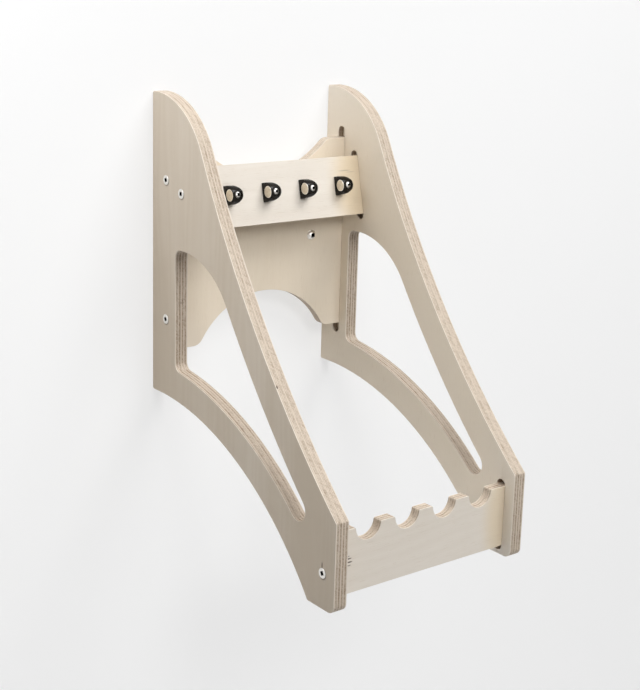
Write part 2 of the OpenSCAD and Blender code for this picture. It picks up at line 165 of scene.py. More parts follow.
# Depth and strength of each relief
WOOD_RELIEF, PLASTIC_RELIEF = (0.12 * MM, 0.55), (0.03 * MM, 0.5)
METAL_RELIEF, PAINT_RELIEF = (0.02 * MM, 0.35), (0.01 * MM, 0.1)
# Shares of a magnet's radius at which its painted rim highlight begins and its dull middle ends
RIM_HIGHLIGHT_FADE, HUB_FADE = (0.8, 0.93), (0.13, 0.05)
# How far the painted shade of a socket reaches, in half sockets and downwards
SOCKET_SHADE_FADE, SOCKET_SHADE_DEPTH_FADE = (1.25, 1.12), (-3.2 * MM, -3 * MM)

# Shares of a screw's head diameter: a socket's width and depth, and the rise of a domed head
SOCKET_SHARE, SOCKET_DEPTH_SHARE, DOME_SHARE = 0.34, 0.26, 0.34
# Shares of a thread's diameter: its pitch, the radius of its core, and the length of the point
PITCH_SHARE, CORE_SHARE, TIP_SHARE = 0.42, 0.36, 1.1
# Share of the point that the thread leaves bare, and share of a head's radius that is broken
BARE_TIP, HEAD_BREAK = 0.6, 0.05
ROUND, FINE_ROUND, SHANK_ROUND, POINT_ROUND = 48, 64, 32, 24
TURN_STEPS, RIDGE_SIDES = 20, 4
HOLDER_SLICES = 73

# Vertices closer than this are one, faces flatter than this are one, edges sharper than this are
# rounded (angles in degrees)
MERGE, FLAT_ANGLE, SHARP_ANGLE = 0.01 * MM, 0.05, 32

# The camera that was fitted to the photograph, in pixels, metres and radians
IMAGE_WIDTH, IMAGE_HEIGHT = 640, 690
FOCAL_LENGTH, CENTRE_X, CENTRE_Y = 1384.32, 312.44, 300.99
CAMERA_PLACE = (-0.67797, -0.97431, 0.22688)
AZIMUTH, ELEVATION, ROLL = (math.radians(angle) for angle in (-37.61072, 13.47409, 1.58))
SENSOR = 36.0
# The wall stays a hair behind the sides, so that it never hides their back edges
STAGE_REACH, WALL_GAP = 4.0, 0.3 * MM
# Lamps: name, place, where it shines, diameter, and the setting that holds its power
MIDDLE = (0, -0.12, -0.05)
LAMPS = [
    ("key_lamp", (0.45, -0.95, 1.3), MIDDLE, 1.0, "key_power"),
    ("front_lamp", (-0.2, -1.5, 0.75), MIDDLE, 0.6, "front_power"),
    ("side_lamp", (-0.45, -0.08, 0.35), (-0.05, -0.06, 0.0), 0.4, "side_power"),
    ("rear_lamp", (0.6, 1.8, 1.0), MIDDLE, 1.3, "rear_power"),
]


def tint(red, green, blue):
    """A colour from its values of 0 to 255, as seen on a screen."""

    def straight(value):
        value /= 255
        return value / 12.92 if value <= 0.04045 else ((value + 0.055) / 1.055) ** 2.4

    return (straight(red), straight(green), straight(blue), 1.0)


# Painted shade inside the screws' sockets
PAINTED_SOCKET_SHADE = tint(16, 15, 14)


def sums(operation, turned=False):
    """A method that adds one Math node, with its values turned round where asked."""

    def method(self, *others):
        return self.math(operation, *((*others, self) if turned else (self, *others)))

    return method


class Wire:
    """One output of a node, which takes part in Python sums: each sum adds a Math node."""

    __add__, __radd__ = sums("ADD"), sums("ADD", True)
    __sub__, __rsub__ = sums("SUBTRACT"), sums("SUBTRACT", True)
    __mul__, __rmul__ = sums("MULTIPLY"), sums("MULTIPLY", True)
    __truediv__, __rtruediv__ = sums("DIVIDE"), sums("DIVIDE", True)
    __mod__ = sums("FLOORED_MODULO")
    least, most = sums("MINIMUM"), sums("MAXIMUM")
    floor, sine, root, __abs__ = sums("FLOOR"), sums("SINE"), sums("SQRT"), sums("ABSOLUTE")

    def __init__(self, plan, socket):
        self.plan = plan
        self.socket = socket

    def __getitem__(self, name):
        return Wire(self.plan, self.socket.node.outputs[name])

    def math(self, operation, *values, clamp=False):
        settings = {"operation": operation, "use_clamp": clamp}
        return self.plan.node("ShaderNodeMath", settings, dict(enumerate(values)))

    def __neg__(self):
        return self * -1.0

    def clamped(self):
        return self.math("ADD", self, 0.0, clamp=True)


class Plan:
    """A node tree under construction, for a finish or for a shape."""

    def __init__(self, tree):
        self.tree = tree

    def node(self, kind, settings=None, values=None, out=0):
        """Adds a node, sets it up, then gives its sockets their values or links."""
        made = self.tree.nodes.new(kind)
        for name, setting in (settings or {}).items():
            setattr(made, name, setting)
        for name, value in (values or {}).items():
            self.feed(made.inputs[name], value)
        return Wire(self, made.outputs[out]) if made.outputs else made

    def feed(self, socket, value):
        for item in value if isinstance(value, list) else [value]:
            if isinstance(item, Wire):
                self.tree.links.new(item.socket, socket)
            else:
                socket.default_value = item

    def vector(self, x, y, z):
        return self.node("ShaderNodeCombineXYZ", None, {0: x, 1: y, 2: z})

    def split(self, vector):
        parts = self.node("ShaderNodeSeparateXYZ", None, {0: vector})
        return {"x": parts["X"], "y": parts["Y"], "z": parts["Z"]}

    def combine(self, operation, a, b=(0, 0, 0), out=0):
        return self.node("ShaderNodeVectorMath", {"operation": operation}, {0: a, 1: b}, out)

    def facing(self, normal, way):
        """How squarely a face looks along a direction, either way, from 0 to 1."""
        return abs(self.combine("DOT_PRODUCT", normal, tuple(way), "Value"))

    def mix(self, a, b, share):
        """A blend of two colours, which are the Mix node's sockets 6 and 7, and its output 2."""
        return self.node("ShaderNodeMix", {"data_type": "RGBA"}, {0: share, 6: a, 7: b}, 2)

    def mix_shaders(self, share, first, second):
        return self.node("ShaderNodeMixShader", None, {0: share, 1: first, 2: second})

    def smooth(self, low, high, value):
        return self.node(
            "ShaderNodeMapRange",
            {"interpolation_type": "SMOOTHSTEP"},
            {"Value": value, "From Min": low, "From Max": high},
        )

    def noise(self, vector, scale=1.0, detail=2.0, roughness=0.5, distortion=0.0):
        values = {"Vector": vector, "Scale": scale, "Detail": detail, "Roughness": roughness}
        return self.node("ShaderNodeTexNoise", None, {**values, "Distortion": distortion})

    def waves(self, parts, counts, shifts=(0, 0, 0), detail=2.0, roughness=0.5):
        """Noise with its own count of waves per metre, and its own start, in each direction."""
        place = [part * count + shift for part, count, shift in zip(parts, counts, shifts)]
        return self.noise(self.vector(*place), 1.0, detail, roughness)

    def shown(self):
        """Whether the camera, a reflection or clear glass shows this."""
        rays = self.node("ShaderNodeLightPath", out="Is Camera Ray")
        return rays.most(rays["Is Glossy Ray"]).most(rays["Is Transmission Ray"])


class Finish(Plan):
    """A material under construction."""

    def __init__(self, name):
        self.material = bpy.data.materials.new(name)
        self.material.use_nodes = True
        super().__init__(self.material.node_tree)
        self.shader = self.tree.nodes["Principled BSDF"]
        self.place = self.node("ShaderNodeTexCoord", out="Object")

    def bump(self, height, depth, strength):
        return self.node(
            "ShaderNodeBump", None, {"Strength": strength, "Distance": depth, "Height": height}
        )

    def give(self, **sockets):
        """Feeds the surface shader; a name's underscores stand for spaces."""
        for name, value in sockets.items():
            self.feed(self.shader.inputs[name.replace("_", " ")], value)
        return self.material


def speck(plan, mark):
    """How much of a small mark covers this place."""
    at, reach, strength = mark
    away = plan.combine("SUBTRACT", plan.place, tuple(v * MM for v in at))
    away = plan.combine("DIVIDE", away, tuple(v * MM for v in reach))
    return plan.smooth(*SPECK_FADE, plan.combine("LENGTH", away, out="Value")) * strength


# Where a place lies in its board, and how squarely its face looks along the board's axes
Lie = namedtuple("Lie", "local depth along across square lengthwise crosswise")


def lie_in(plan, board):
    """The lie of every place in a board."""
    local = plan.node(
        "ShaderNodeMapping",
        {"vector_type": "TEXTURE"},
        {"Vector": plan.place, "Location": board.centre, "Rotation": board.lean},
    )
    parts = plan.split(local)
    normal = plan.node("ShaderNodeNewGeometry", out="Normal")
    ways = {"x": Vector((1, 0, 0)), "y": Vector((0, 1, 0)), "z": Vector((0, 0, 1))}
    for way in ways.values():
        way.rotate(Euler(board.lean))
    faced = (plan.facing(normal, ways[axis]) for axis in board.axes)
    return Lie(local, *(parts[axis] for axis in board.axes), *faced)


def face_veneer(plan, board, wood, lie, warmth):
    """Slow drift of tone, flowing figure, fine fibres and short dark pores."""
    place = (lie.across, lie.depth, lie.along)
    shift = board.shift
    drift = plan.waves(place, DRIFT_WAVES, (shift, 0, shift), 3, 0.55)
    flow = plan.waves(place, FLOW_WAVES, (shift, 0, 0))
    figure = ((lie.across * FIGURE_WAVES + flow * FLOW_REACH) * math.tau).sine() * 0.5 + 0.5
    fibre = plan.waves(place, FIBRE_WAVES, (0, 0, shift), roughness=0.6)
    pores = plan.smooth(*PORE_FADE, plan.waves(place, PORE_WAVES, detail=0))
    veil = plan.noise(lie.local, VEIL_WAVES)
    tone = (
        plan.smooth(*DRIFT_FADE, drift) * DRIFT_TONE + figure * wood.figure
        + fibre * FIBRE_TONE + (veil - 0.5) * VEIL_TONE + board.tone
    )
    colour = plan.mix(wood.face_light, wood.face_dark, tone.clamped())
    # Warm patches: on the right side and the back board these are painted warm bounce light and
    # shade
    for patch in warmth:
        colour = plan.mix(colour, wood.warmth, speck(plan, patch))
    colour = plan.mix(colour, wood.pore, pores * PORE_TONE)
    return colour, fibre, fibre * FIBRE_RISE - pores


def cut_edge(plan, board, wood, lie):
    """Plies, counted from one face to the other, that turn their grain by turns, and their glue."""
    place = (lie.depth, lie.across, lie.along)
    sway = plan.waves((lie.along, lie.across, 0.0), (SWAY_WAVES,) * 3, (0, board.shift, 0))
    count = (lie.depth / board.thick + 0.5) * board.plies + (sway - 0.5) * SWAY_REACH
    ply = count.floor().most(0.0).least(board.plies - 1.0)
    crossed = ply % 2.0
    straight = 1 - crossed
    glue = plan.smooth(*GLUE_FADE, abs((count - ply) * 2.0 - 1.0))
    end_share = lie.lengthwise * lie.lengthwise * straight + lie.crosswise * lie.crosswise * crossed
    ply_tone = plan.node(
        "ShaderNodeTexWhiteNoise", {"noise_dimensions": "1D"}, {"W": ply + board.shift}
    )
    along, across = (plan.waves(place, counts, roughness=0.6) for counts in STREAK_WAVES)
    streaks = along * straight + across * crossed
    bands = plan.waves(place, BAND_WAVES, (0, ply, 0), roughness=0.55)
    slant = lie.depth * HATCH_SLANT
    hatch = plan.waves(
        (lie.depth, lie.across + slant, lie.along + slant), HATCH_WAVES, roughness=0.6
    )
    vessels = plan.smooth(*VESSEL_FADE, plan.noise(lie.local, VESSEL_WAVES, 1)) * end_share
    tone = (
        end_share * end_share * END_TONE + EDGE_TONE + (ply_tone - 0.5) * PLY_TONE
        + (streaks - 0.5) * wood.edge_grain + (bands - 0.5) * BAND_TONE
        + (hatch - 0.5) * HATCH_TONE + vessels * VESSEL_TONE
    )
    colour = plan.mix(wood.edge_light, wood.edge_dark, tone.clamped())
    colour = plan.mix(colour, wood.glue, glue * (end_share * END_GLUE_TONE + GLUE_TONE))
    # Pale bands at a cut edge's rims: the outer veneer, brightened by painted highlight on the
    # rounding
    skin = plan.smooth(*SKIN_HIGHLIGHT_FADE, abs(lie.depth / board.thick))
    colour = plan.mix(colour, wood.face_light, skin * SKIN_HIGHLIGHT_TONE)
    return colour, streaks * STREAK_RISE + glue * GLUE_RISE + end_share * END_RISE


def plywood(board, wood, marks=(), warmth=()):
    """Birch plywood: veneer on the faces, plies and glue lines on the edges, worn between them."""
    plan = Finish(f"{board.piece}_plywood")
    lie = lie_in(plan, board)
    face = plan.smooth(*FACE_FADE, lie.square)
    face_colour, fibre, face_height = face_veneer(plan, board, wood, lie, warmth)
    edge_colour, edge_height = cut_edge(plan, board, wood, lie)
    colour = plan.mix(edge_colour, face_colour, face)
    arris = plan.smooth(*ARRIS_FADE, lie.square) * (1 - plan.smooth(*FLAT_FADE, lie.square))
    handled = arris * plan.smooth(*WEAR_FADE, plan.noise(lie.local, WEAR_WAVES, 3, 0.6))
    colour = plan.mix(colour, wood.wear, handled * WEAR_TONE)
    for mark in marks:
        colour = plan.mix(colour, wood.mark, speck(plan, mark))
    edge = 1 - face
    return plan.give(
        Base_Color=colour,
        Roughness=wood.roughness + fibre * FIBRE_ROUGH + edge * EDGE_ROUGH + handled * WEAR_ROUGH,
        Normal=plan.bump(face * face_height + edge * edge_height, *WOOD_RELIEF),
    )


def holder_plastic(look):
    """Glossy black moulded plastic with faint scuffs."""
    plan = Finish("holder_plastic")
    ripple = plan.noise(plan.place, RIPPLE_WAVES)
    scuff = plan.smooth(*SCUFF_FADE, plan.noise(plan.place, SCUFF_WAVES, 4, 0.7, 1.2))
    dust = plan.smooth(*DUST_FADE, plan.noise(plan.place, DUST_WAVES, 4, 0.65))
    return plan.give(
        Base_Color=plan.mix(look.plastic, look.dust, (dust + scuff) * DUST_TONE),
        Specular_IOR_Level=PLASTIC_SHINE,
        Roughness=look.gloss + scuff * SCUFF_ROUGH + dust * DUST_ROUGH,
        Normal=plan.bump(ripple * RIPPLE_RISE + scuff * SCUFF_RISE, *PLASTIC_RELIEF),
    )


def metal(name, look, bright, socket=None, rim=None):
    """Plated metal with turned rings, and painted shade in a socket or a painted highlight on a
    rim.
    """
    plan = Finish(name)
    local = plan.node("ShaderNodeAttribute", {"attribute_name": "from_axis"}, out="Vector")
    parts = plan.split(local)
    from_axis = (parts["x"] * parts["x"] + parts["y"] * parts["y"]).root()
    rings = plan.noise(plan.vector(from_axis * RING_WAVES, 0.0, 0.0), roughness=0.7)
    cloud = plan.noise(plan.place, STAIN_WAVES, 4, 0.6)
    stain = plan.smooth(*STAIN_FADE, cloud)
    colour = plan.mix(bright, look.dull, stain * STAIN_TONE + rings * RING_TONE)
    # Painted shade in the socket, reaching a little past it onto the head
    if socket:
        half, top = socket
        widest = abs(parts["x"]).most(abs(parts["y"]))
        socket_shade = plan.smooth(*(half * share for share in SOCKET_SHADE_FADE), widest)
        socket_shade *= plan.smooth(*(top + drop for drop in SOCKET_SHADE_DEPTH_FADE), parts["z"])
        colour = plan.mix(colour, PAINTED_SOCKET_SHADE, socket_shade)
    # A rim gets a painted highlight near its chamfered edge, and a dull middle
    if rim:
        edge, pale = rim
        for tone, fade in ((pale, RIM_HIGHLIGHT_FADE), (look.dull, HUB_FADE)):
            ring = plan.smooth(*(edge * share for share in fade), from_axis)
            colour = plan.mix(colour, tone, ring)
    return plan.give(
        Base_Color=colour,
        Metallic=1.0,
        Roughness=look.roughness + stain * STAIN_ROUGH + rings * RING_ROUGH,
        Normal=plan.bump(rings + cloud * STAIN_RISE, *METAL_RELIEF),
    )


def finish_piece(piece, slot, *nodes):
    """Ties a finished piece to the frame."""
    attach(piece, BODY)
    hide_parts(*nodes)


def link(piece):
    bpy.context.scene.collection.objects.link(piece)
    return piece


def soften(mesh, angle):
    """Smooth shading, with sharp edges above an angle."""
    mesh.polygons.foreach_set("use_smooth", [True] * len(mesh.polygons))
    mesh.set_sharp_from_angle(angle=math.radians(angle))


def round_edges(piece, width, segments, angle, harden):
    """Rounds the edges that are sharper than an angle."""
    rounding = piece.modifiers.new("Rounding", "BEVEL")
    rounding.width = width
    rounding.segments = segments
    rounding.limit_method = "ANGLE"
    rounding.angle_limit = math.radians(angle)
    rounding.use_clamp_overlap = False
    rounding.harden_normals = harden


def make_board(board, wood, marks=(), warmth=()):
    """A board with softened edges, from its solid in the frame."""
    form = bmesh.new()
    form.from_mesh(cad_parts[board.node].data)
    bmesh.ops.remove_doubles(form, verts=form.verts, dist=MERGE)
    bmesh.ops.dissolve_degenerate(form, edges=form.edges, dist=MERGE)
    bmesh.ops.dissolve_limit(
        form, angle_limit=math.radians(FLAT_ANGLE), use_dissolve_boundaries=False,
        verts=form.verts, edges=form.edges,
    )
    mesh = bpy.data.meshes.new(board.piece)
    form.to_mesh(mesh)
    form.free()
    mesh.materials.clear()
    mesh.materials.append(plywood(board, wood, marks, warmth))
    piece = link(bpy.data.objects.new(board.piece, mesh))
    round_edges(piece, wood.rounding, 2, SHARP_ANGLE, True)
    soften(mesh, SHARP_ANGLE)
    return piece


class Shape(Plan):
    """A Geometry Nodes tree that makes like pieces, with named inputs for its sizes."""

    def __init__(self, name, sizes, spin=0.0, seed=0):
        tree = bpy.data.node_groups.new(name, "GeometryNodeTree")
        super().__init__(tree)
        self.sizes = {**sizes, "Spin": spin, "Seed": seed}
        kinds = {int: "NodeSocketInt", float: "NodeSocketFloat"}
        inputs = {title: kinds[type(value)] for title, value in self.sizes.items()}
        inputs = {"Places": "NodeSocketGeometry", **inputs, "Finish": "NodeSocketMaterial"}
        for title, kind in inputs.items():
            tree.interface.new_socket(name=title, in_out="INPUT", socket_type=kind)
        tree.interface.new_socket(name="Pieces", in_out="OUTPUT", socket_type="NodeSocketGeometry")
        self.start = self.node("NodeGroupInput")

    def size(self, title):
        return self.start[title]

    def drum(self, radius, low, high, facets=ROUND):
        """A round drum along Z, from one height to another."""
        values = {"Vertices": facets, "Radius": radius, "Depth": high - low}
        made = self.node("GeometryNodeMeshCylinder", None, values)
        return self.moved(made, (0.0, 0.0, (low + high) * 0.5))

    def moved(self, shape, shift, turn=(0.0, 0.0, 0.0)):
        values = {"Geometry": shape, "Translation": self.vector(*shift), "Rotation": turn}
        return self.node("GeometryNodeTransform", None, values)

    def joined(self, *shapes):
        return self.node("GeometryNodeJoinGeometry", None, {"Geometry": list(shapes)})

    def wrapped(self, *shapes):
        """The tightest skin round the shapes."""
        return self.node("GeometryNodeConvexHull", None, {"Geometry": self.joined(*shapes)})

    def cut(self, shape, *tools):
        values = {"Mesh 1": shape, "Mesh 2": list(tools)}
        return self.node("GeometryNodeMeshBoolean", {"operation": "DIFFERENCE"}, values)

    def placed(self, shape):
        """Copies the shape to every place, facing outward there and spun by its own small angle."""
        local = self.node("GeometryNodeInputPosition")
        shape = self.node(
            "GeometryNodeStoreNamedAttribute",
            {"data_type": "FLOAT_VECTOR", "domain": "POINT"},
            {"Geometry": shape, "Name": "from_axis", "Value": local},
        )
        outward = self.node(
            "GeometryNodeInputNamedAttribute", {"data_type": "FLOAT_VECTOR"}, {"Name": "outward"}
        )
        facing = self.node("FunctionNodeAlignRotationToVector", {"axis": "Z"}, {"Vector": outward})
        # Sockets 2 and 3, and output 1, are the ones for numbers with decimals
        spin = self.node(
            "FunctionNodeRandomValue",
            {"data_type": "FLOAT"},
            {2: -self.size("Spin"), 3: self.size("Spin"), "Seed": self.size("Seed")},
            1,
        )
        turned = self.node(
            "FunctionNodeRotateRotation",
            {"rotation_space": "LOCAL"},
            {0: facing, 1: self.vector(0.0, 0.0, spin)},
        )
        points = self.node("GeometryNodeMeshToPoints", None, {"Mesh": self.size("Places")})
        copies = self.node(
            "GeometryNodeInstanceOnPoints",
            None,
            {"Points": points, "Instance": shape, "Rotation": turned},
        )
        whole = self.node("GeometryNodeRealizeInstances", None, {"Geometry": copies})
        coated = self.node(
            "GeometryNodeSetMaterial", None, {"Geometry": whole, "Material": self.size("Finish")}
        )
        self.node("NodeGroupOutput", None, {"Pieces": coated})
        return self


def place_pieces(name, shape, places, material, rounding=0.0, angle=SHARP_ANGLE):
    """Runs a shape's tree on the places where its pieces sit, and keeps one plain mesh of them."""
    points = bpy.data.meshes.new(f"{name}_places")
    points.from_pydata([tuple(at) for at, outward in places], [], [])
    facing = points.attributes.new("outward", "FLOAT_VECTOR", "POINT")
    facing.data.foreach_set("vector", [v for at, outward in places for v in outward])
    source = link(bpy.data.objects.new(f"{name}_source", points))
    maker = source.modifiers.new("Pieces", "NODES")
    maker.node_group = shape.tree
    inputs = {**shape.sizes, "Finish": material}
    for socket in shape.tree.interface.items_tree:
        if socket.name in inputs:
            maker[socket.identifier] = inputs[socket.name]
    if rounding:
        round_edges(source, rounding, 3, angle, False)
    bpy.context.view_layer.update()
    ready = source.evaluated_get(bpy.context.evaluated_depsgraph_get())
    mesh = bpy.data.meshes.new_from_object(ready)
    mesh.name = name
    bpy.data.objects.remove(source)
    bpy.data.meshes.remove(points)
    if len(mesh.polygons) == 0:
        raise RuntimeError(f"{name} came out empty")
    soften(mesh, angle)
    return link(bpy.data.objects.new(name, mesh))


def screw_shape(name, look, head, shank, neck, thread, length, cone=0.0, rise=0.0, rim=0.0, step=0):
    """A screw along Z, its point downwards, from its head's seat or outer face at Z = 0."""
    sizes = {
        "Head diameter": head,
        "Head rim": rim,
        "Head cone": cone,
        "Head rise": rise,
        "Shank diameter": shank,
        "Neck length": neck,
        "Thread diameter": thread,
        "Thread pitch": thread * PITCH_SHARE,
        "Screw length": length,
        "Socket share": SOCKET_SHARE,
        "Socket depth share": SOCKET_DEPTH_SHARE,
    }
    plan = Shape(name, sizes, look.spin, look.seed + step)
    head_wide, thread_wide = plan.size("Head diameter"), plan.size("Thread diameter")
    half_head, half_shank = head_wide * 0.5, plan.size("Shank diameter") * 0.5
    head_rise, rim_drop = plan.size("Head rise"), plan.size("Head rim")
    seat = -(rim_drop + plan.size("Head cone"))
    break_edge = half_head * HEAD_BREAK
    if rise:
        dome = (half_head * half_head + head_rise * head_rise) / (head_rise * 2.0)
        values = {"Segments": ROUND, "Rings": ROUND, "Radius": dome}
        ball = plan.node("GeometryNodeMeshUVSphere", None, values)
        ball = plan.moved(ball, (0.0, 0.0, head_rise - dome))
        height = plan.split(plan.node("GeometryNodeInputPosition"))["z"]
        low = plan.node(
            "FunctionNodeCompare",
            {"data_type": "FLOAT", "operation": "LESS_THAN"},
            {0: height, 1: break_edge},
        )
        values = {"Geometry": ball, "Selection": low}
        cap = plan.node("GeometryNodeDeleteGeometry", {"domain": "POINT"}, values)
        shapes = [plan.drum(half_head, 0.0, break_edge), cap]
    else:
        shapes = [
            plan.drum(half_head, -rim_drop, -break_edge),
            plan.drum(half_head - break_edge, -rim_drop, 0.0),
            plan.drum(half_shank, seat, -rim_drop),
        ]
    side = head_wide * plan.size("Socket share")
    sunk = head_wide * plan.size("Socket depth share")
    tool = plan.node("GeometryNodeMeshCube", None, {"Size": plan.vector(side, side, sunk * 2.0)})
    head_form = plan.cut(plan.wrapped(*shapes), plan.moved(tool, (0.0, 0.0, head_rise)))

    core, tip = thread_wide * CORE_SHARE, thread_wide * TIP_SHARE
    end = plan.size("Screw length")
    neck_end = -plan.size("Neck length")
    body = plan.drum(half_shank, neck_end, seat, SHANK_ROUND)
    rod = plan.drum(core, tip - end, neck_end, POINT_ROUND)
    point = plan.node(
        "GeometryNodeMeshCone",
        None,
        {"Vertices": POINT_ROUND, "Radius Top": core, "Radius Bottom": 0.0, "Depth": tip},
    )
    point = plan.moved(point, (0.0, 0.0, -end))
    thread_end = tip * BARE_TIP - end
    run = neck_end - thread_end
    path = plan.node(
        "GeometryNodeCurveSpiral",
        None,
        {
            "Resolution": TURN_STEPS, "Rotations": run / plan.size("Thread pitch"),
            "Start Radius": core, "End Radius": core, "Height": run,
        },
    )
    path = plan.node("GeometryNodeSetCurveNormal", {"mode": "Z_UP"}, {"Curve": path})
    ridge = plan.node(
        "GeometryNodeCurvePrimitiveCircle",
        {"mode": "RADIUS"},
        {"Resolution": RIDGE_SIDES, "Radius": thread_wide * 0.5 - core},
    )
    values = {"Curve": path, "Profile Curve": ridge, "Fill Caps": True}
    thread_form = plan.node("GeometryNodeCurveToMesh", None, values)
    thread_form = plan.moved(thread_form, (0.0, 0.0, thread_end))
    return plan.placed(plan.joined(head_form, body, plan.wrapped(rod, point), thread_form))


def set_screws(name, look, head, top, plan, places, nodes):
    """Puts screws in their places, in steel with painted shade in the square sockets of their
    heads.
    """
    steel = metal(f"{name}_steel", look, look.steel, socket=(head * SOCKET_SHARE / 2, top))
    finish_piece(place_pieces(f"{name}s", plan, places, steel), "screw_steel", *nodes)


def on_rail(x, out, up):
    """A place on the leaning rail: along it, out from its front face and up from its middle."""
    turn = Matrix.Rotation(-RAIL_LEAN, 3, "X")
    return RAIL_MIDDLE + turn @ Vector((x, -UPPER_RAIL.thick / 2 - out, up))


def out_of_rail():
    """The direction straight out of the leaning rail."""
    return (on_rail(0, 1, 0) - on_rail(0, 0, 0)).normalized()


def holder_places(holders):
    """Where the holders' left faces are along the rail."""
    return [(n - (SAWS - 1) / 2) * holders.pitch - holders.setover for n in range(SAWS)]


def head_place(node):
    """The middle of the outer face of a side screw's head, and the way it looks."""
    low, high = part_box(node)
    middle = (low + high) / 2
    way = -1 if middle.x < 0 else 1
    return (low.x if way < 0 else high.x, middle.y, middle.z), (way, 0, 0)


def painted_head_shade_marks(side):
    """Painted shade in the gaps at the lower front of the sunk screw heads in a side."""
    drop, reach, strength = PAINTED_HEAD_SHADE
    marks = []
    for node in SIDE_SCREW_NODES:
        if node.startswith(side):
            x, y, z = (v / MM for v in head_place(node)[0])
            marks.append(((x, y + drop[0], z + drop[1]), reach, strength))
    return marks


def colour_setting(title, about, red, green, blue):
    return bpy.props.FloatVectorProperty(
        name=title, description=about, subtype="COLOR", size=4, min=0, max=1,
        default=tint(red, green, blue),
    )


def length_setting(title, about, default, low, high):
    """A length, given in millimetres."""
    return bpy.props.FloatProperty(
        name=title, description=about, default=default * MM, min=low * MM, max=high * MM,
        subtype="DISTANCE", unit="LENGTH",
    )


def share_setting(title, about, default):
    return bpy.props.FloatProperty(
        name=title, description=about, default=default, min=0, max=1, subtype="FACTOR"
    )


def power_setting(title, about, default):
    return bpy.props.FloatProperty(
        name=title, description=about, default=default, min=0, subtype="POWER", unit="POWER"
    )


class BoardLook(bpy.types.PropertyGroup):
    face_light: colour_setting("Face, light", "Lightest tone of the face veneer", 235, 228, 218)
    face_dark: colour_setting("Face, dark", "Darkest tone of the face veneer", 198, 184, 165)
    pore: colour_setting("Pores", "Short dark pores of the face veneer", 196, 176, 150)
    edge_light: colour_setting(
        "Edge, light", "Plies whose grain runs along the edge", 206, 192, 175
    )
    edge_dark: colour_setting("Edge, dark", "Plies that show their end grain", 124, 102, 78)
    glue: colour_setting("Glue lines", "Lines between the plies", 138, 112, 92)
    # Colour of the warm patches, which are painted warm bounce light and shade on the right side
    # and back board
    warmth: colour_setting(
        "Warmth", "Honey-coloured patches of the face veneer", 222, 202, 168
    )
    wear: colour_setting("Handled edges", "Tone of the edges that hands touch", 208, 190, 166)
    # The mark colour also paints the shade round the sides' sunk screw heads
    mark: colour_setting("Marks", "Pin knots and small cracks", 70, 50, 36)
    figure: share_setting("Figure", "Strength of the flowing figure", 0.06)
    edge_grain: bpy.props.FloatProperty(
        name="Edge grain", description="Strength of the fine streaks on the plies",
        default=1.0, min=0, max=2,
    )
    roughness: share_setting("Roughness", "Roughness of the sanded faces", 0.5)
    rounding: length_setting("Edge rounding", "Rounding of the boards' edges", 0.25, 0.05, 1.5)


class HolderLook(bpy.types.PropertyGroup):
    pitch: length_setting(
        "Saw pitch", "Distance from one saw to the next",
        (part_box("saw_holder_2")[0][0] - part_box("saw_holder_1")[0][0]) / MM, 20, 80,
    )
    setover: length_setting(
        "Holder setover", "Distance from the middle of a notch to the face that holds its saw",
        1.2, 0, 3,
    )
    rise: length_setting(
        "Holder rise", "Distance from the middle of the rail up to the holders", 0.5, 0, 8
    )
    width: length_setting(
        "Holder width", "Width of a holder along the rail",
        (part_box("saw_holder_1")[1][0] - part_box("saw_holder_1")[0][0]) / MM, 8, 16,
    )
    height: length_setting("Holder height", "Height of a holder", 16, 12, 24)
    flat: length_setting("Holder flat", "Length of a holder before its round nose", 5, 2, 12)
    end_radius: length_setting(
        "Holder end radius", "Radius of the two corners of a holder's right end", 7.5, 1, 8
    )
    setin: length_setting(
        "Screw set-in", "Distance from a holder's left face to its screw", 5.65, 5, 8
    )
    seat: length_setting(
        "Screw seat", "Distance from the rail to the floor of the screw's recess", 10.8, 8, 14
    )
    rounding: length_setting("Edge rounding", "Rounding of the holders' edges", 0.15, 0.05, 0.5)
    plastic: colour_setting("Plastic", "Colour of the moulded plastic", 24, 19, 13)
    dust: colour_setting("Dust", "Colour of dust and scuffs", 150, 142, 132)
    gloss: share_setting("Roughness", "Roughness of the clean plastic", 0.14)


class MagnetLook(bpy.types.PropertyGroup):
    diameter: length_setting("Diameter", "Diameter of a magnet", 10, 6, 12)
    thick: length_setting("Thickness", "Thickness of a magnet", 2, 1, 3)
    setout: length_setting(
        "Setout", "Distance from the rail to the middle of a magnet", 7.6, 5.5, 9
    )
    nickel: colour_setting("Nickel", "Colour of the plating", 216, 206, 188)
    # The rim colour is a painted highlight on the magnet's chamfer
    rim: colour_setting("Rim", "Colour of the bright rim", 252, 247, 236)
    dull: colour_setting(
        "Dull nickel", "Colour where saws have dulled the plating", 192, 176, 156
    )
    roughness: share_setting("Roughness", "Roughness of the plating", 0.24)


class ScrewLook(bpy.types.PropertyGroup):
    side_head: length_setting("Side screw head", "Head diameter of the side screws", 8, 6, 10)
    wall_head: length_setting("Wall screw head", "Head diameter of the wall screws", 9, 7, 12)
    holder_head: length_setting(
        "Holder screw head", "Head diameter of the holder screws", 6.4, 5, 7
    )
    spin: bpy.props.FloatProperty(
        name="Spin", description="How far a socket may be turned out of the square",
        default=math.radians(32), min=0, max=math.pi, subtype="ANGLE",
    )
    seed: bpy.props.IntProperty(
        name="Seed", description="Picks how each screw is turned", default=11, min=0
    )
    steel: colour_setting("Steel", "Colour of the bright plating", 236, 233, 228)
    dull: colour_setting("Dull steel", "Colour of the dulled plating", 196, 193, 188)
    roughness: share_setting("Roughness", "Roughness of the plating", 0.26)


